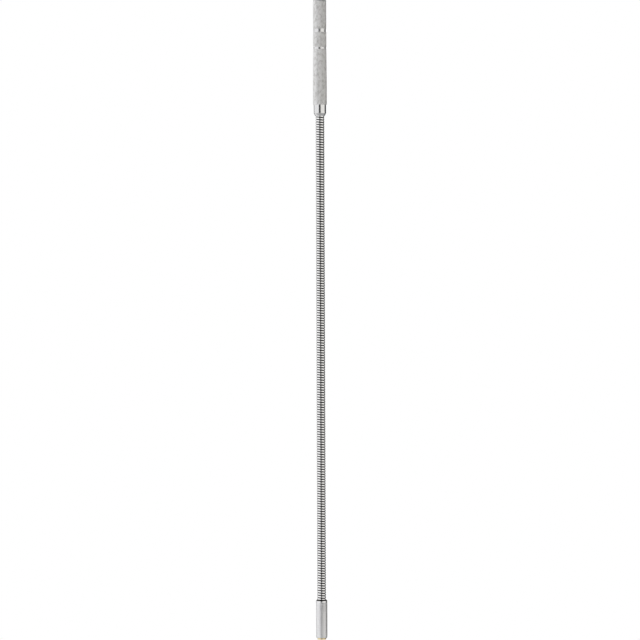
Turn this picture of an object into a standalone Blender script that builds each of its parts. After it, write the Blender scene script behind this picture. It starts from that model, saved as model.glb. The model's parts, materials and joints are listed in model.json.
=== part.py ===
"""Magnetic pickup tool: a knurled steel handle, a flexible neck and a shielded magnet head.

The tool stands upright. The origin is the centre of the magnet's face, and +Z runs up the neck to the
handle. The neck is two steel wires wound together, which bend anywhere and hold the bend. Here they are
cut into short lengths, each hinged to the one above it, and the hinges turn about X and Y by turns.
"""

import math

import bmesh
import bpy

MM = 0.001

# Whole tool, in metres above the magnet's face
HANDLE_END = 555.0 * MM
NOSE_END = 454.4 * MM
HEAD_TOP = 34.6 * MM

# Neck: the outer wire is a wedge with a crowned back, and the inner wire's coil fills the core
NECK_RADIUS = 3.65 * MM
WIRE_PITCH = 2.15 * MM
OUTER_WIRE_HEIGHT = 1.9 * MM
OUTER_WIRE_SHOULDER = 3.35 * MM
OUTER_WIRE_POINT = 2.25 * MM
INNER_COIL_RADIUS = 1.85 * MM
INNER_COIL_HOLE = 0.9 * MM
SOCKET_RADIUS = 3.85 * MM

# Neck lengths and the hinges between them
MOVING_LENGTHS = 19
TURNS_PER_LENGTH = 10
HINGE_GAP = 2.0 * MM
HINGE_SPACING = TURNS_PER_LENGTH * WIRE_PITCH
TOP_HINGE = (NOSE_END + HEAD_TOP + MOVING_LENGTHS * HINGE_SPACING) / 2

# Handle, turned from one bar
BAR_RADIUS = 5.4 * MM
END_RADIUS = 5.72 * MM
MIDDLE_RADIUS = 5.75 * MM
FLARE_RADIUS = 5.95 * MM
FLARE_TOP = 484.0 * MM
END_ROUNDING = 0.8 * MM
KNURL_STEP = 0.15 * MM
END_KNURL_BOTTOM = 530.0 * MM
MIDDLE_KNURL_TOP = 527.1 * MM
MIDDLE_KNURL_BOTTOM = 514.0 * MM
LONG_KNURL_TOP = 512.4 * MM
LONG_KNURL_BOTTOM = 464.0 * MM
NOSE_CHAMFER_TOP = 456.5 * MM
NOSE_TIP_RADIUS = 4.2 * MM
HANDLE_SOCKET_DEPTH = 18.0 * MM

# Head: a steel sleeve round a brass spacer, which holds the magnet off the sleeve
HEAD_RADIUS = 4.85 * MM
HEAD_CHAMFER = 0.8 * MM
SLEEVE_BOTTOM = 1.2 * MM
SLEEVE_ROUNDING = 2.8 * MM
SLEEVE_LIP_RADIUS = 4.3 * MM
MAGNET_BORE_RADIUS = 3.95 * MM
SPACER_RADIUS = 3.75 * MM
SPACER_HOLE = 3.0 * MM
MAGNET_RADIUS = 2.8 * MM
MAGNET_LENGTH = 19.5 * MM
KEEPER_THICKNESS = 2.0 * MM
PIECE_GAP = 0.3 * MM
KEEPER_BOTTOM = MAGNET_LENGTH + PIECE_GAP
KEEPER_TOP = KEEPER_BOTTOM + KEEPER_THICKNESS
HEAD_SOCKET_BOTTOM = KEEPER_TOP + PIECE_GAP

# Facets
BAR_SIDES = 28
CORE_SIDES = 12
STEPS_PER_TURN = 8
ROUNDING_STEPS = 3


def clear_scene():
    for old in list(bpy.data.objects):
        bpy.data.objects.remove(old, do_unlink=True)


def material(name, colour, roughness):
    made = bpy.data.materials.new(name)
    made.use_nodes = True
    shader = made.node_tree.nodes["Principled BSDF"]
    shader.inputs["Base Color"].default_value = (*colour, 1)
    shader.inputs["Metallic"].default_value = 1.0
    shader.inputs["Roughness"].default_value = roughness
    return made


def hinge(number, height, parent):
    """The empty that a length of the neck hangs from, on its joint's axis."""
    point = bpy.data.objects.new(f"bend_{number:02d}", None)
    bpy.context.collection.objects.link(point)
    point.empty_display_size = NECK_RADIUS
    place(point, height, parent)
    return point


def place(obj, height, parent):
    """Stands obj on the tool's axis at a height above the magnet's face, and hangs it from parent."""
    obj.location = (0, 0, height)
    if parent is not None:
        obj.parent = parent
        obj.location.z -= total_height(parent)


def total_height(obj):
    return obj.location.z + (total_height(obj.parent) if obj.parent else 0)


def piece(name, mesh, finish, height, parent):
    obj = bpy.data.objects.new(name, mesh)
    bpy.context.collection.objects.link(obj)
    if not mesh.materials:
        mesh.materials.append(finish)
    place(obj, height, parent)
    return obj


def rounded_edge(flat_radius, side_radius, face, side, steps=ROUNDING_STEPS):
    """Points of a quarter ellipse from the flat end face out to the side."""
    turns = [math.pi / 2 * i / steps for i in range(steps + 1)]
    return [
        (
            flat_radius + (side_radius - flat_radius) * math.sin(turn),
            side + (face - side) * math.cos(turn),
        )
        for turn in turns
    ]


def turned(name, outline, finish, height, parent, sides=BAR_SIDES):
    """A turned piece. The outline is (radius, height) points, down the outer side and up the inner one."""
    solid_to_axis = outline[0][0] == 0
    mesh = bpy.data.meshes.new(name)
    last = len(outline) - 1
    edges = [(i, i + 1) for i in range(last)] + ([] if solid_to_axis else [(last, 0)])
    mesh.from_pydata([(radius, 0, z - height) for radius, z in outline], edges, [])
    obj = piece(name, mesh, finish, height, parent)
    screw = obj.modifiers.new("Turn", "SCREW")
    screw.axis = "Z"
    screw.angle = math.tau
    screw.steps = screw.render_steps = sides
    screw.use_merge_vertices = True
    screw.merge_threshold = 1e-5
    screw.use_smooth_shade = False
    return obj


def wound_mesh(name, top, bottom):
    """The outer wire between two heights, counted from the piece's own origin, wound left-handed."""
    half = OUTER_WIRE_HEIGHT / 2
    profile = (
        (NECK_RADIUS, 0),
        (OUTER_WIRE_SHOULDER, half),
        (OUTER_WIRE_POINT, 0),
        (OUTER_WIRE_SHOULDER, -half),
    )
    high, low = top - half, bottom + half
    steps = round((high - low) / WIRE_PITCH * STEPS_PER_TURN)
    shape = bmesh.new()
    rings = []
    for i in range(steps + 1):
        z = high + (low - high) * i / steps
        turn = -math.tau * z / WIRE_PITCH
        ring = [(r * math.cos(turn), r * math.sin(turn), z + rise) for r, rise in profile]
        rings.append([shape.verts.new(point) for point in ring])
    for above, below in zip(rings, rings[1:]):
        for i in range(len(profile)):
            j = (i + 1) % len(profile)
            shape.faces.new((above[i], above[j], below[j], below[i]))
    shape.faces.new(rings[0])
    shape.faces.new(rings[-1])
    bmesh.ops.triangulate(shape, faces=shape.faces)
    bmesh.ops.recalc_face_normals(shape, faces=shape.faces)
    mesh = bpy.data.meshes.new(name)
    shape.to_mesh(mesh)
    shape.free()
    return mesh


def inner_coil(name, top, bottom, finish, height, parent):
    """The round wire's close-wound coil, as the tube that it fills."""
    outline = [
        (INNER_COIL_HOLE, height + top),
        (INNER_COIL_RADIUS, height + top),
        (INNER_COIL_RADIUS, height + bottom),
        (INNER_COIL_HOLE, height + bottom),
    ]
    return turned(name, outline, finish, height, parent, CORE_SIDES)


def neck_length(number, top, bottom, finish, height, parent, mesh=None):
    """One length of both wires. Heights top and bottom are counted from the piece's origin."""
    outer = f"neck_outer_coil_{number:02d}"
    piece(outer, mesh or wound_mesh(outer, top, bottom), finish, height, parent)
    inner_coil(f"neck_inner_coil_{number:02d}", top, bottom, finish, height, parent)


def handle(finish):
    socket_top = NOSE_END + HANDLE_SOCKET_DEPTH
    outline = [
        (0, HANDLE_END),
        *rounded_edge(END_RADIUS - END_ROUNDING, END_RADIUS, HANDLE_END, HANDLE_END - END_ROUNDING),
        (END_RADIUS, END_KNURL_BOTTOM + KNURL_STEP),
        (BAR_RADIUS, END_KNURL_BOTTOM),
        (BAR_RADIUS, MIDDLE_KNURL_TOP),
        (MIDDLE_RADIUS, MIDDLE_KNURL_TOP - KNURL_STEP),
        (MIDDLE_RADIUS, MIDDLE_KNURL_BOTTOM + KNURL_STEP),
        (BAR_RADIUS, MIDDLE_KNURL_BOTTOM),
        (BAR_RADIUS, LONG_KNURL_TOP),
        (END_RADIUS, LONG_KNURL_TOP - KNURL_STEP),
        (FLARE_RADIUS, FLARE_TOP),
        (FLARE_RADIUS, LONG_KNURL_BOTTOM + KNURL_STEP),
        (BAR_RADIUS, LONG_KNURL_BOTTOM),
        (BAR_RADIUS, NOSE_CHAMFER_TOP),
        (NOSE_TIP_RADIUS, NOSE_END),
        (SOCKET_RADIUS, NOSE_END),
        (SOCKET_RADIUS, socket_top),
        (0, socket_top),
    ]
    return turned("handle_bar", outline, finish, HANDLE_END, None)


def neck(finish, handle_piece):
    """Both wires from the handle's socket to the head's, and the last hinge, which carries the head."""
    margin = HINGE_GAP / 2
    neck_top = NOSE_END + HANDLE_SOCKET_DEPTH - PIECE_GAP
    neck_length(1, neck_top - TOP_HINGE, margin, finish, TOP_HINGE, handle_piece)
    top, bottom = -margin, margin - HINGE_SPACING
    shared = wound_mesh("neck_outer_coil", top, bottom)
    parent = handle_piece
    for i in range(MOVING_LENGTHS):
        height = TOP_HINGE - i * HINGE_SPACING
        parent = hinge(i + 1, height, parent)
        neck_length(i + 2, top, bottom, finish, height, parent, shared)
    last = TOP_HINGE - MOVING_LENGTHS * HINGE_SPACING
    head_hinge = hinge(MOVING_LENGTHS + 1, last, parent)
    end = HEAD_SOCKET_BOTTOM - last
    neck_length(MOVING_LENGTHS + 2, -margin, end, finish, last, head_hinge)
    return head_hinge


def head(steel, brass, nickel, parent):
    top = total_height(parent)
    round_top = SLEEVE_BOTTOM + SLEEVE_ROUNDING
    lip = rounded_edge(SLEEVE_LIP_RADIUS, HEAD_RADIUS, SLEEVE_BOTTOM, round_top)
    sleeve = [
        (SOCKET_RADIUS, HEAD_TOP),
        (HEAD_RADIUS - HEAD_CHAMFER, HEAD_TOP),
        (HEAD_RADIUS, HEAD_TOP - HEAD_CHAMFER),
        *reversed(lip),
        (MAGNET_BORE_RADIUS, SLEEVE_BOTTOM),
        (MAGNET_BORE_RADIUS, HEAD_SOCKET_BOTTOM),
        (SOCKET_RADIUS, HEAD_SOCKET_BOTTOM),
    ]
    turned("head_sleeve", sleeve, steel, top, parent)
    spacer = [
        (SPACER_HOLE, MAGNET_LENGTH),
        (SPACER_RADIUS, MAGNET_LENGTH),
        (SPACER_RADIUS, 0),
        (SPACER_HOLE, 0),
    ]
    turned("magnet_spacer", spacer, brass, top, parent)
    rod = [(0, MAGNET_LENGTH), (MAGNET_RADIUS, MAGNET_LENGTH), (MAGNET_RADIUS, 0), (0, 0)]
    turned("magnet", rod, nickel, top, parent)
    plate = [
        (0, KEEPER_TOP),
        (SPACER_RADIUS, KEEPER_TOP),
        (SPACER_RADIUS, KEEPER_BOTTOM),
        (0, KEEPER_BOTTOM),
    ]
    turned("keeper_plate", plate, steel, top, parent)


def main():
    clear_scene()
    chrome = material("handle_chrome", (0.78, 0.78, 0.77), 0.2)
    wire = material("neck_steel", (0.62, 0.62, 0.61), 0.22)
    satin = material("head_steel", (0.7, 0.7, 0.69), 0.32)
    brass = material("spacer_brass", (0.78, 0.6, 0.3), 0.28)
    nickel = material("magnet_nickel", (0.62, 0.61, 0.58), 0.25)
    head(satin, brass, nickel, neck(wire, handle(chrome)))


main()
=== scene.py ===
"""The looks of the magnetic pickup tool: knurled handle, wound neck, barrel and brass-rimmed magnet."""

import json
import math

import bpy
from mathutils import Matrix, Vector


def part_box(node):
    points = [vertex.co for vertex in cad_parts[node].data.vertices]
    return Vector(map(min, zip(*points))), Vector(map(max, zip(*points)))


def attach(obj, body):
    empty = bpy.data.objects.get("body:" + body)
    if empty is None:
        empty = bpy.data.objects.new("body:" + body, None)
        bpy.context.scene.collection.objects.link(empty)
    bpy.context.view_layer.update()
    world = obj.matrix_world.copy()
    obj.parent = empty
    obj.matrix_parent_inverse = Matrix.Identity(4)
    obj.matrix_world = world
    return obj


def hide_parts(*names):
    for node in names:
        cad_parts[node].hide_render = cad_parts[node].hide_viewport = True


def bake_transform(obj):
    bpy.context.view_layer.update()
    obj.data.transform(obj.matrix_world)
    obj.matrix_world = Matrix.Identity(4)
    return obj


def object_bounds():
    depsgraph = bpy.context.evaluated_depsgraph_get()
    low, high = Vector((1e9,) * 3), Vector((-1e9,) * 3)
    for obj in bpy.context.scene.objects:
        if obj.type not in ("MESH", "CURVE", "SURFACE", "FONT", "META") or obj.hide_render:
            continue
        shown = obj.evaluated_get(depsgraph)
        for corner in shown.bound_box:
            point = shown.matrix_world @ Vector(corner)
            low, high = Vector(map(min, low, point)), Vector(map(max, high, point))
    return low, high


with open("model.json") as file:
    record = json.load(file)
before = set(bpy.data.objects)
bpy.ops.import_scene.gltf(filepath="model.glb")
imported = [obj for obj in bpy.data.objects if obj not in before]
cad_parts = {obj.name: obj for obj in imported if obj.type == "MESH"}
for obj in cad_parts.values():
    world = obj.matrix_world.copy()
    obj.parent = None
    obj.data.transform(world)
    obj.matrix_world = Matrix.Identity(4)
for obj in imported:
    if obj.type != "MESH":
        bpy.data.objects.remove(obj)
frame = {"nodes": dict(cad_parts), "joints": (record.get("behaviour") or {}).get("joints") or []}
cad_low, cad_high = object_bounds()

MM = 0.001

# Places that the frame gives
HANDLE_LOW, HANDLE_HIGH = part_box("handle_bar")
SLEEVE_LOW, SLEEVE_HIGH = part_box("head_sleeve")
SPACER_LOW, SPACER_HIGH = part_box("magnet_spacer")
MAGNET_LOW, MAGNET_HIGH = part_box("magnet")
UPPER_WIRE_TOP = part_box("neck_inner_coil_01")[1].z
LOWER_WIRE_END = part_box(f"neck_inner_coil_{len(frame['joints']) + 1:02d}")[0].z
HINGES = [joint["pos_m"][2] for joint in frame["joints"]]

# An edge stays crisp where its two faces turn more than this, in degrees
CREASE = 35
KNURL_CREASE = 14

# Handle bar. Each band is (top, bottom, radius at the top, radius past the flare), down from the end
BAR_RADIUS = 5.4 * MM
END_ROUNDING = 0.8 * MM
END_RINGS = 21000  # turning rings on the end face, in radians for each metre from the axis
BANDS = (
    (0.8 * MM, 25.0 * MM, 5.72 * MM, 5.72 * MM),
    (27.9 * MM, 41.0 * MM, 5.75 * MM, 5.75 * MM),
    (42.6 * MM, 91.0 * MM, 5.72 * MM, 5.95 * MM),
)
FLARE_LENGTH = 28.4 * MM
BAND_EDGE = 0.12 * MM
NOSE_LENGTH = 9.6 * MM
NOSE_CHAMFER = 2.1 * MM
NOSE_EDGE = 0.4 * MM
NOSE_TIP_RADIUS = 4.2 * MM
SOCKET_RADIUS = 3.85 * MM
SOCKET_DEPTH = 18.0 * MM

# Knurling: diamonds round the bar, the fine grid that each half diamond takes, and the mark of plain
# metal, which is above any height of the knurl
DIAMONDS_ROUND = 26
DIAMOND_LENGTH = 2.26 * MM
KNURL_DEPTH = 0.16 * MM
KNURL_GRID = 3
COLUMNS = 2 * DIAMONDS_ROUND * KNURL_GRID
PLAIN = 2.0

# Neck wires
TURNS_PER_LENGTH = 10
WIRE_PITCH = (HINGES[0] - HINGES[1]) / TURNS_PER_LENGTH
NECK_RADIUS = 3.78 * MM
WIRE_HALF_HEIGHT = 0.95 * MM
WIRE_CROWN = 0.5 * MM
CROWN_POWER = 0.85
CROWN_HALF_HEIGHT = 0.97 * WIRE_HALF_HEIGHT
SHOULDER_DROP = 0.15 * MM
WIRE_POINT_RADIUS = 2.45 * MM
WIRE_POINT_HALF_HEIGHT = 0.12 * MM
WIRE_STEPS = 40
CORE_WIRE_RADIUS = 0.75 * MM
CORE_COIL_RADIUS = 2.1 * MM
CORE_STEPS = 24
CORE_SIDES = 10

# Barrel and magnet
BARREL_SIDES = 96
BARREL_RADIUS = SLEEVE_HIGH.x
BARREL_LIP_RADIUS = 4.3 * MM
BARREL_ROUNDING = 2.8 * MM
BARREL_CHAMFER = 0.8 * MM
COLLAR_LENGTH = 2.8 * MM
BARREL_LINE_WIDTH = 0.3 * MM
BARREL_LINE_DEPTH = 0.08 * MM
KEEPER_CLEARANCE = 0.3 * MM
MAGNET_BORE_RADIUS = 3.95 * MM
SPACER_HOLE_RADIUS = 3.0 * MM
SMALL_BREAK = 0.15 * MM
RIM_ROUNDING = 0.4 * MM

# Table and camera
TABLE_HALF_WIDTH = 3.0
CAMERA_DISTANCE = 4.0
CAMERA_OFFSET = -0.6 * MM
CAMERA_DROP = 0.25 * MM
FRAME_HEIGHT = 555.52 * MM  # what the view takes in at the tool
SENSOR = 36.0
LEAN = math.radians(0.205)
WHITE = (1, 1, 1, 1)


class Number:
    """A number in a node tree that Python can reckon with: each operator adds its Math node."""

    def __init__(self, nodes, socket):
        self.nodes = nodes
        self.socket = socket

    def math(self, operation, *others):
        inputs = dict(enumerate((self, *others)))
        node = self.nodes.add("ShaderNodeMath", {"operation": operation}, inputs)
        return Number(self.nodes, node.outputs[0])

    def __add__(self, other):
        return self.math("ADD", other)

    __radd__ = __add__

    def __mul__(self, other):
        return self.math("MULTIPLY", other)

    __rmul__ = __mul__

    def __sub__(self, other):
        return self.math("SUBTRACT", other)

    def __rsub__(self, other):
        return (self * -1) + other

    def __neg__(self):
        return self * -1

    def angle_from(self, other):
        """Degrees of the direction whose sine part is this number and whose cosine part is other."""
        return self.math("ARCTAN2", other) * math.degrees(1)

    def rise(self, low, high):
        """0 at low, 1 at high, and a smooth step between them."""
        inputs = {"Value": self, "From Min": low, "From Max": high}
        stepped = self.nodes.add("ShaderNodeMapRange", {"interpolation_type": "SMOOTHSTEP"}, inputs)
        return Number(self.nodes, stepped.outputs[0])

    def between(self, low, high, soft):
        """1 between low and high, 0 outside, with edges that fade over twice soft."""
        return self.rise(low - soft, low + soft) * (1 - self.rise(high - soft, high + soft))


class Nodes:
    """The node tree of one finish, or of the studio."""

    def __init__(self, tree):
        self.tree = tree
        tree.nodes.clear()

    def add(self, kind, settings, inputs):
        node = self.tree.nodes.new(kind)
        for name, value in settings.items():
            setattr(node, name, value)
        for key, value in inputs.items():
            value = getattr(value, "socket", value)
            if isinstance(value, bpy.types.NodeSocket):
                self.tree.links.new(value, node.inputs[key])
            else:
                node.inputs[key].default_value = value
        return node

    def number(self, node, output):
        return Number(self, node.outputs[output])

    def place(self):
        return self.add("ShaderNodeTexCoord", {}, {}).outputs["Object"]

    def parts_of(self, vector):
        split = self.add("ShaderNodeSeparateXYZ", {}, {0: vector})
        return [Number(self, output) for output in split.outputs]

    def stretched(self, vector, factors):
        inputs = {0: vector, 1: factors}
        return self.add("ShaderNodeVectorMath", {"operation": "MULTIPLY"}, inputs).outputs[0]

    def noise(self, vector, factors, detail=2.0):
        """Noise of about one wave for each unit, once the place is multiplied by factors."""
        inputs = {"Vector": self.stretched(vector, factors), "Scale": 1.0, "Detail": detail}
        return self.number(self.add("ShaderNodeTexNoise", {}, inputs), "Fac")

    def mixed(self, share, first, second):
        """A colour that goes from first to second as share goes from 0 to 1."""
        settings = {"data_type": "RGBA"}
        return self.add("ShaderNodeMix", settings, {0: share, 6: first, 7: second}).outputs[2]

    def stored(self, name, output="Fac"):
        """A number or a place that the mesh carries at its points."""
        return self.number(self.add("ShaderNodeAttribute", {"attribute_name": name}, {}), output)

    def bump(self, height, distance, strength):
        inputs = {"Height": height, "Distance": distance, "Strength": strength}
        return self.add("ShaderNodeBump", {}, inputs).outputs[0]


def finish(name, parts):
    """A metal whose Principled sockets come from parts(nodes)."""
    made = bpy.data.materials.new(name)
    made.use_nodes = True
    nodes = Nodes(made.node_tree)
    metal = nodes.add("ShaderNodeBsdfPrincipled", {}, {"Metallic": 1.0, **parts(nodes)})
    nodes.add("ShaderNodeOutputMaterial", {}, {"Surface": metal.outputs[0]})
    return made


def plated_bar(nodes):
    """Bright plate over the turned bar.

    The knurled bands are duller and a little darker in their grooves than on their tops, with smudges from
    hands and rubbed tops.
    """
    place = nodes.place()
    x, y, z = nodes.parts_of(place)
    top = nodes.stored("knurl_top").rise(0.05, 0.9)
    plain = nodes.stored("plain").rise(0.3, 0.7)
    handling = nodes.noise(place, (150, 150, 60), 4.0)
    smudges = nodes.noise(place, (520, 520, 340), 3.0).rise(0.42, 0.66)
    nose_top = HANDLE_LOW.z + NOSE_LENGTH
    nose = 1 - z.rise(nose_top, nose_top + 1 * MM)
    on_end = z.rise(HANDLE_HIGH.z - 0.1 * MM, HANDLE_HIGH.z - 0.05 * MM)
    radius = (x * x + y * y).math("SQRT")
    rings = (radius * END_RINGS).math("SINE")
    turning = nodes.noise(place, (90, 90, 5200)) * (1 - on_end) + 0.35 * rings * on_end
    knurled = nodes.mixed(handling, (0.98, 0.98, 0.975, 1), (0.88, 0.88, 0.87, 1))
    polished = nodes.mixed(handling, (0.82, 0.82, 0.815, 1), (0.76, 0.76, 0.755, 1))
    # the knurl's colour in its grooves, a little darker than on its tops
    groove_colour = (0.84, 0.835, 0.82, 1)
    smudged = (0.55, 0.54, 0.515, 1)
    rubbed = nodes.mixed(top, groove_colour, nodes.mixed(plain, knurled, polished))
    return {
        "Base Color": nodes.mixed(0.5 * smudges * (1 - plain), rubbed, smudged),
        "Roughness": 0.48 - 0.06 * top - 0.2 * plain - 0.1 * nose + 0.08 * handling + 0.06 * smudges,
        "Normal": nodes.bump(turning, 0.01 * MM, 0.35),
    }


def bright_wire(nodes):
    """Plated, rolled wire, with drawing lines along it and painted shade darkening its edges, in the gaps
    between the turns.
    """
    along = nodes.add("ShaderNodeUVMap", {"uv_map": "along_wire"}, {}).outputs[0]
    drawn = nodes.noise(along, (90, 7000, 1))
    patches = nodes.noise(nodes.stored("rest", "Vector"), (160, 160, 120), 4.0)
    crown = nodes.stored("crown").rise(0.18, 0.42)
    steel = nodes.mixed(patches, (1, 1, 0.995, 1), (0.92, 0.915, 0.9, 1))
    # painted shade: the wire's edges, where the turns meet, are coloured near black in place of the shade
    # in the gaps
    painted_gap_shade = (0.03, 0.029, 0.028, 1)
    return {
        "Base Color": nodes.mixed(crown, painted_gap_shade, steel),
        "Roughness": 0.32 - 0.18 * crown + 0.10 * patches,
        "Normal": nodes.bump(drawn, 0.008 * MM, 0.3),
    }


def core_steel(nodes):
    """Plain drawn steel, greyer than the plate, with a film of oil."""
    place = nodes.place()
    patches = nodes.noise(place, (240, 240, 200), 4.0)
    return {
        "Base Color": nodes.mixed(patches, (0.16, 0.157, 0.15, 1), (0.26, 0.255, 0.25, 1)),
        "Roughness": 0.36 + 0.14 * patches,
        "Normal": nodes.bump(nodes.noise(place, (4000, 4000, 4000)), 0.006 * MM, 0.3),
    }


def satin_steel(nodes):
    """Steel turned with a fine feed and left satin, smoother above its line, with a painted dark reflection
    on its top chamfer.
    """
    place = nodes.place()
    z = nodes.parts_of(place)[2]
    chamfer_edge = SLEEVE_HIGH.z - BARREL_CHAMFER
    line = SLEEVE_HIGH.z - COLLAR_LENGTH
    # painted dark reflection: from a little under the top chamfer upwards the colour goes near black,
    # standing in for the dark tent top that the chamfer mirrors
    painted_dark_top = z.rise(chamfer_edge - 0.5 * MM, chamfer_edge - 0.2 * MM)
    collar = z.rise(line - 0.1 * MM, line + 0.1 * MM)
    turning = nodes.noise(place, (70, 70, 9000), 3.0)
    handling = nodes.noise(place, (260, 260, 80), 4.0)
    scuffs = nodes.noise(place, (2200, 2200, 160)).rise(0.6, 0.72)
    lines = nodes.noise(place, (60, 60, 3600), 3.0).rise(0.4, 0.62)
    satin = nodes.mixed(handling, (0.97, 0.97, 0.965, 1), (0.89, 0.89, 0.895, 1))
    marked = nodes.mixed(0.3 * scuffs + 0.2 * lines, satin, (0.66, 0.66, 0.67, 1))
    # the colour of the painted dark reflection on the top chamfer
    painted_dark_reflection = (0.07, 0.068, 0.065, 1)
    return {
        "Base Color": nodes.mixed(painted_dark_top, marked, painted_dark_reflection),
        "Roughness": 0.5 + 0.08 * handling + 0.08 * scuffs - 0.24 * collar,
        "Normal": nodes.bump(turning + 0.3 * scuffs, 0.012 * MM, 0.5),
    }


def turned_brass(nodes):
    """Turned brass, a little dull."""
    place = nodes.place()
    turning = nodes.noise(place, (90, 90, 9000), 3.0)
    tarnish = nodes.noise(place, (500, 500, 500), 4.0).rise(0.35, 0.8)
    return {
        "Base Color": nodes.mixed(tarnish, (0.96, 0.79, 0.40, 1), (0.86, 0.67, 0.30, 1)),
        "Roughness": 0.30 + 0.14 * tarnish,
        "Normal": nodes.bump(turning, 0.012 * MM, 0.4),
    }


def nickelled_magnet(nodes):
    """Nickel plate with the scratches of the parts that it has picked up."""
    place = nodes.place()
    scratches = nodes.noise(place, (5200, 300, 300)).rise(0.6, 0.7)
    crossed = nodes.noise(place, (400, 4600, 300)).rise(0.62, 0.72)
    worn = nodes.noise(place, (420, 420, 420), 4.0)
    nickel = nodes.mixed(worn, (0.74, 0.72, 0.67, 1), (0.58, 0.57, 0.54, 1))
    scratched = (0.42, 0.41, 0.39, 1)
    return {
        "Base Color": nodes.mixed(0.4 * scratches + 0.3 * crossed, nickel, scratched),
        "Roughness": 0.22 + 0.18 * worn + 0.12 * scratches,
        "Normal": nodes.bump(1 - 0.5 * scratches - 0.5 * crossed, 0.01 * MM, 0.5),
    }


def shown(name, points, faces, material, cad_nodes, crease=CREASE):
    """A piece from its points and faces, with its finish, which stands for some CAD nodes."""
    mesh = bpy.data.meshes.new(name)
    mesh.from_pydata(points, [], faces)
    mesh.materials.append(material)
    piece = bpy.data.objects.new(name, mesh)
    bpy.context.scene.collection.objects.link(piece)
    mesh.shade_smooth()
    mesh.set_sharp_from_angle(angle=math.radians(crease))
    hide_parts(*cad_nodes)
    return piece


def store(mesh, name, values):
    """Keep a number for each point, which a finish reads by its name."""
    mesh.attributes.new(name, "FLOAT", "POINT").data.foreach_set("value", values)


def arc(centre_radius, centre_height, along, up, start, end, steps):
    """Points of an elliptical arc in (radius, height), start and end in degrees up from the outside."""
    turns = [math.radians(start + (end - start) * i / steps) for i in range(steps + 1)]
    return [(centre_radius + along * math.cos(turn), centre_height + up * math.sin(turn)) for turn in turns]


def ring_of(radius, height, sides):
    turns = [math.tau * i / sides for i in range(sides)]
    return [(radius * math.cos(turn), radius * math.sin(turn), height) for turn in turns]


def turned(name, outline, material, cad_node):
    """A turned piece.

    The outline goes down the outer side and up the inner one, or it starts and ends on the axis.
    """
    solid = outline[0][0] == 0
    walls = outline[1:-1] if solid else outline
    points = [point for radius, height in walls for point in ring_of(radius, height, BARREL_SIDES)]
    pairs = list(zip(range(len(walls)), [*range(1, len(walls)), 0]))
    faces = []
    for above, below in pairs[:-1] if solid else pairs:
        for i in range(BARREL_SIDES):
            j = (i + 1) % BARREL_SIDES
            start, end = above * BARREL_SIDES, below * BARREL_SIDES
            faces.append((start + i, end + i, end + j, start + j))
    if solid:
        last = (len(walls) - 1) * BARREL_SIDES
        faces.append(tuple(range(BARREL_SIDES)))
        faces.append(tuple(reversed(range(last, last + BARREL_SIDES))))
    return shown(name, points, faces, material, [cad_node])


def knurl_height(column, row):
    """Height of the knurl at a point of its grid, from 0 in a groove to 1 on a diamond's flat top."""
    across = abs(column / KNURL_GRID % 2 - 1)
    along = abs(row / KNURL_GRID % 2 - 1)
    top = (KNURL_GRID - 1) / KNURL_GRID
    return min(abs(across + along - 1), top) / top


def knurled_rings(drop_start, drop_end, start_radius, end_radius):
    """One band's rings, from the top down, as (height, radii, tops). Plain rings close it at both ends."""
    first, last = drop_start + BAND_EDGE, drop_end - BAND_EDGE
    rows = round((last - first) / (DIAMOND_LENGTH / 2) * KNURL_GRID)
    rings = plain_rings([(BAR_RADIUS, HANDLE_HIGH.z - drop_start)])
    for row in range(rows + 1):
        drop = first + (last - first) * row / rows
        swell = min((drop - drop_start) / FLARE_LENGTH, 1)
        outer = start_radius + (end_radius - start_radius) * swell
        tops = [knurl_height(column, row) for column in range(COLUMNS)]
        radii = [outer - KNURL_DEPTH * (1 - top) for top in tops]
        rings.append((HANDLE_HIGH.z - drop, radii, tops))
    return rings + plain_rings([(BAR_RADIUS, HANDLE_HIGH.z - drop_end)])


def knurl_faces(rings):
    """The faces between neighbouring rings, each split along the groove or ridge that crosses it."""
    faces = []
    for k in range(len(rings) - 1):
        upper, lower = rings[k][2], rings[k + 1][2]
        for i in range(COLUMNS):
            j = (i + 1) % COLUMNS
            a, b = k * COLUMNS + i, k * COLUMNS + j
            c, d = b + COLUMNS, a + COLUMNS
            groove = math.isclose(upper[i], lower[j]) and upper[i] + lower[j] <= upper[j] + lower[i]
            if PLAIN in (upper[i], lower[i]):
                faces.append((a, d, c, b))
            elif math.isclose(upper[j], lower[i]) and not groove:
                faces.extend(((a, d, b), (d, c, b)))
            else:
                faces.extend(((a, d, c), (a, c, b)))
    return faces


def plain_rings(outline):
    """Rings without knurling, one for each point (radius, height) of an outline."""
    return [(height, [radius] * COLUMNS, [PLAIN] * COLUMNS) for radius, height in outline]


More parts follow.
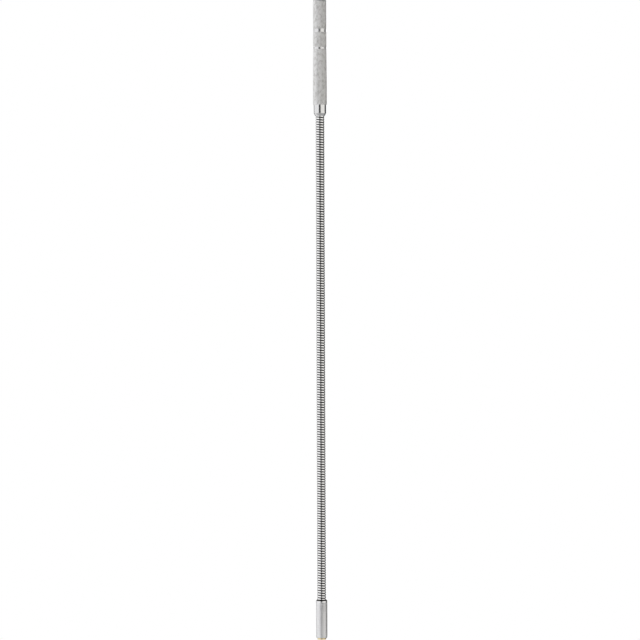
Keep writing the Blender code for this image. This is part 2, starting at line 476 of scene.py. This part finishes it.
def handle(material):
    """The bar: rounded end, three knurled bands with plain grooves between, nose, and the neck's socket."""
    end_radius, end_height = BANDS[0][2] - END_ROUNDING, HANDLE_HIGH.z - END_ROUNDING
    rings = plain_rings(arc(end_radius, end_height, END_ROUNDING, END_ROUNDING, 90, 20, 6))
    for band in BANDS:
        rings.extend(knurled_rings(*band))
    socket_top = HANDLE_LOW.z + SOCKET_DEPTH
    edge_height = HANDLE_LOW.z + NOSE_CHAMFER + NOSE_EDGE / 2
    nose = [
        *arc(BAR_RADIUS - NOSE_EDGE, edge_height, NOSE_EDGE, NOSE_EDGE, 0, -60, 5),
        (NOSE_TIP_RADIUS + SMALL_BREAK, HANDLE_LOW.z + SMALL_BREAK),
        (NOSE_TIP_RADIUS, HANDLE_LOW.z),
        (SOCKET_RADIUS, HANDLE_LOW.z),
        (SOCKET_RADIUS, socket_top),
    ]
    rings.extend(plain_rings(nose))
    points, tops = [], []
    for height, radii, ring_tops in rings:
        for (x, y, z), radius in zip(ring_of(1, height, COLUMNS), radii):
            points.append((x * radius, y * radius, z))
        tops.extend(ring_tops)
    faces = knurl_faces(rings)
    last = (len(rings) - 1) * COLUMNS
    faces.append(tuple(range(COLUMNS)))
    faces.append(tuple(reversed(range(last, last + COLUMNS))))
    bar = shown("handle", points, faces, material, ["handle_bar"], KNURL_CREASE)
    store(bar.data, "knurl_top", [min(top, 1) for top in tops])
    store(bar.data, "plain", [float(top == PLAIN) for top in tops])
    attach(bar, "handle")


def outer_section():
    """The outer wire's section as (radius, rise, crown): a crowned back, and a wedge inside."""
    section = []
    for radius, rise in arc(0, 0, 1, 1, -90, 90, 10):
        drop = 1 - abs(radius) ** CROWN_POWER
        across = math.copysign(abs(rise) ** CROWN_POWER, rise)
        section.append((NECK_RADIUS - WIRE_CROWN * drop, CROWN_HALF_HEIGHT * across, 1 - abs(across)))
    shoulder = NECK_RADIUS - WIRE_CROWN - SHOULDER_DROP
    section.append((shoulder, WIRE_HALF_HEIGHT, 0))
    section.append((WIRE_POINT_RADIUS, WIRE_POINT_HALF_HEIGHT, 0))
    section.append((WIRE_POINT_RADIUS, -WIRE_POINT_HALF_HEIGHT, 0))
    section.append((shoulder, -WIRE_HALF_HEIGHT, 0))
    return section


def core_section():
    """The inner wire's round section, in the same form as outer_section(), with no crown."""
    turns = [math.tau * i / CORE_SIDES for i in range(CORE_SIDES)]
    return [
        (CORE_COIL_RADIUS + CORE_WIRE_RADIUS * math.cos(turn), CORE_WIRE_RADIUS * math.sin(turn), 0)
        for turn in turns
    ]


def wound(name, section, steps_per_turn, top, bottom, lift, material, cad_nodes):
    """A wire wound left-handed between two heights. lift puts its turns between the other wire's."""
    steps = round((top - bottom) / WIRE_PITCH * steps_per_turn)
    points, crowns = [], []
    for i in range(steps + 1):
        height = top + (bottom - top) * i / steps
        turn = -math.tau * (height - lift) / WIRE_PITCH
        for radius, rise, crown in section:
            points.append((radius * math.cos(turn), radius * math.sin(turn), height + rise))
            crowns.append(crown)
    sides = len(section)
    faces = [
        (i * sides + k, i * sides + (k + 1) % sides, (i + 1) * sides + (k + 1) % sides, (i + 1) * sides + k)
        for i in range(steps)
        for k in range(sides)
    ]
    faces.append(tuple(reversed(range(sides))))
    faces.append(tuple(range(steps * sides, (steps + 1) * sides)))
    wire = shown(name, points, faces, material, cad_nodes)
    store(wire.data, "crown", crowns)
    rest = wire.data.attributes.new("rest", "FLOAT_VECTOR", "POINT")
    rest.data.foreach_set("vector", [value for point in points for value in point])
    along_wire(wire.data, sides, steps, (top - bottom) / WIRE_PITCH * math.tau * section[0][0])
    return wire


def along_wire(mesh, sides, steps, length):
    """A UV map in metres: along the wire, and round its section."""
    uv = mesh.uv_layers.new(name="along_wire")
    width = 4 * WIRE_HALF_HEIGHT
    for face in mesh.polygons:
        for loop, point in zip(face.loop_indices, face.vertices):
            step, side = divmod(point, sides)
            if side == 0 and face.index < steps * sides and face.index % sides == sides - 1:
                side = sides
            uv.data[loop].uv = (length * step / steps, width * side / sides)


def neck(outer_steel, inner_steel):
    """Both wires, in pieces that reach from the middle of one length to the middle of the next."""
    middles = [(above + below) / 2 for above, below in zip(HINGES, HINGES[1:])]
    starts = [HANDLE_LOW.z, *middles]
    ends = [*middles, SLEEVE_HIGH.z]
    last = len(HINGES) - 1
    for i in range(len(HINGES)):
        top = UPPER_WIRE_TOP - WIRE_HALF_HEIGHT if i == 0 else starts[i]
        bottom = LOWER_WIRE_END + WIRE_HALF_HEIGHT if i == last else ends[i]
        numbers = [i + 1, i + 2] if i == last else [i + 1]
        outer_nodes = [f"neck_outer_coil_{n:02d}" for n in numbers]
        inner_nodes = [f"neck_inner_coil_{n:02d}" for n in numbers]
        outer = wound(
            f"neck_wire_{i + 1:02d}", outer_section(), WIRE_STEPS, top, bottom, 0,
            outer_steel, outer_nodes,
        )
        inner = wound(
            f"core_wire_{i + 1:02d}", core_section(), CORE_STEPS, top, bottom, WIRE_PITCH / 2,
            inner_steel, inner_nodes,
        )
        for wire in (outer, inner):
            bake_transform(wire)


def barrel(steel):
    """The sleeve: a chamfered top with a fine turned line under it, and a well-rounded lower end."""
    top, bottom = SLEEVE_HIGH.z, SLEEVE_LOW.z
    line = top - COLLAR_LENGTH
    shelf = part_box("keeper_plate")[1].z + KEEPER_CLEARANCE
    lip_width = BARREL_RADIUS - BARREL_LIP_RADIUS
    outline = [
        (SOCKET_RADIUS, top),
        (BARREL_RADIUS - BARREL_CHAMFER, top),
        (BARREL_RADIUS - SMALL_BREAK, top - BARREL_CHAMFER + SMALL_BREAK),
        (BARREL_RADIUS, top - BARREL_CHAMFER - SMALL_BREAK),
        (BARREL_RADIUS, line + BARREL_LINE_WIDTH / 2),
        (BARREL_RADIUS - BARREL_LINE_DEPTH, line),
        (BARREL_RADIUS, line - BARREL_LINE_WIDTH / 2),
        *arc(BARREL_LIP_RADIUS, bottom + BARREL_ROUNDING, lip_width, BARREL_ROUNDING, 0, -90, 10),
        (MAGNET_BORE_RADIUS, bottom),
        (MAGNET_BORE_RADIUS, shelf),
        (SOCKET_RADIUS, shelf),
    ]
    sleeve = turned("barrel", outline, steel, "head_sleeve")
    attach(sleeve, "head")


def magnet(brass, nickel):
    """The brass spacer and the magnet rod inside it, both flush at the tip."""
    outer, hole = SPACER_HIGH.x, SPACER_HOLE_RADIUS
    spacer = [
        (hole, SPACER_HIGH.z),
        (outer, SPACER_HIGH.z),
        *arc(outer - RIM_ROUNDING, SPACER_LOW.z + RIM_ROUNDING, RIM_ROUNDING, RIM_ROUNDING, 0, -90, 6),
        *arc(hole + SMALL_BREAK, SPACER_LOW.z + SMALL_BREAK, SMALL_BREAK, SMALL_BREAK, -90, -180, 4),
    ]
    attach(turned("brass_rim", spacer, brass, "magnet_spacer"), "head")
    radius = MAGNET_HIGH.x
    rod = [
        (0, MAGNET_HIGH.z),
        (radius, MAGNET_HIGH.z),
        *arc(radius - SMALL_BREAK, MAGNET_LOW.z + SMALL_BREAK, SMALL_BREAK, SMALL_BREAK, 0, -90, 4),
        (0, MAGNET_LOW.z),
    ]
    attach(turned("magnet_rod", rod, nickel, "magnet"), "head")


def keeper(steel):
    """The plate behind the magnet is plain, so its CAD node stays and only takes its finish."""
    frame["nodes"]["keeper_plate"].material_slots[0].material = steel


def floor():
    """A pale table under the tip, which is white to the lens. The metal mirrors the tent instead."""
    half = TABLE_HALF_WIDTH
    corners = [(-half, -half, 0), (half, -half, 0), (half, half, 0), (-half, half, 0)]
    mesh = bpy.data.meshes.new("table")
    mesh.from_pydata(corners, [], [(0, 1, 2, 3)])
    table = bpy.data.objects.new("table", mesh)
    bpy.context.scene.collection.objects.link(table)
    made = bpy.data.materials.new("white_sweep")
    made.use_nodes = True
    nodes = Nodes(made.node_tree)
    seen = nodes.add("ShaderNodeLightPath", {}, {}).outputs["Is Camera Ray"]
    paper = nodes.add("ShaderNodeBsdfDiffuse", {}, {"Color": (0.8, 0.8, 0.8, 1)})
    white = nodes.add("ShaderNodeEmission", {}, {"Color": WHITE, "Strength": 1.0})
    surface = nodes.add("ShaderNodeMixShader", {}, {0: seen, 1: paper.outputs[0], 2: white.outputs[0]})
    nodes.add("ShaderNodeOutputMaterial", {}, {"Surface": surface.outputs[0]})
    mesh.materials.append(made)
    table.visible_glossy = False


def studio():
    """A light tent, with its places in degrees round from the lens and up from the level.

    The left wall is tall and the right wall low. A bright strip stands behind the tool, with a weak
    light below and another in the far left corner. It is dark above and at the lens.
    """
    world = bpy.data.worlds.new("studio")
    world.use_nodes = True
    bpy.context.scene.world = world
    nodes = Nodes(world.node_tree)
    direction = nodes.add("ShaderNodeTexCoord", {}, {}).outputs["Generated"]
    x, y, z = nodes.parts_of(direction)
    azimuth = x.angle_from(-y)
    height = z.angle_from((x * x + y * y).math("SQRT"))
    left = azimuth.between(-130, -21, 5) * height.between(-38, 58, 12)
    right = azimuth.between(13, 97, 6) * height.between(-23, 26, 10)
    behind = y.rise(0.86, 0.94)
    below = height.rise(-16, -34) * (1 - left)
    corner = azimuth.between(-160, -125, 5) * height.between(15, 60, 6)
    light = 0.05 + 0.92 * left + 0.9 * right + 0.8 * behind + 0.38 * below + 0.5 * corner
    tint = nodes.mixed(right, (0.985, 0.985, 1, 1), (1, 0.985, 0.955, 1))
    seen = nodes.add("ShaderNodeLightPath", {}, {}).outputs["Is Camera Ray"]
    tent = nodes.add("ShaderNodeBackground", {}, {"Color": tint, "Strength": light})
    white = nodes.add("ShaderNodeBackground", {}, {"Color": WHITE, "Strength": 1.0})
    surface = nodes.add("ShaderNodeMixShader", {}, {0: seen, 1: tent.outputs[0], 2: white.outputs[0]})
    nodes.add("ShaderNodeOutputWorld", {}, {"Surface": surface.outputs[0]})


def camera():
    """Level with the middle of the tool, four metres away, and turned a trace about the lens's axis."""
    lens = bpy.data.cameras.new("camera")
    lens.sensor_width = SENSOR
    lens.lens = SENSOR * CAMERA_DISTANCE / FRAME_HEIGHT
    lens.clip_start = 0.05
    lens.clip_end = 20
    eye = bpy.data.objects.new("camera", lens)
    bpy.context.scene.collection.objects.link(eye)
    eye.location = (CAMERA_OFFSET, -CAMERA_DISTANCE, (cad_low.z + cad_high.z) / 2 - CAMERA_DROP)
    eye.rotation_euler = (math.pi / 2, LEAN, 0)
    bpy.context.scene.camera = eye
    bpy.context.scene.view_settings.view_transform = "Standard"


def main():
    studio()
    camera()
    floor()
    core = finish("core_steel", core_steel)
    handle(finish("plated_bar", plated_bar))
    neck(finish("bright_wire", bright_wire), core)
    barrel(finish("satin_steel", satin_steel))
    magnet(finish("turned_brass", turned_brass), finish("nickelled_magnet", nickelled_magnet))
    keeper(core)


main()
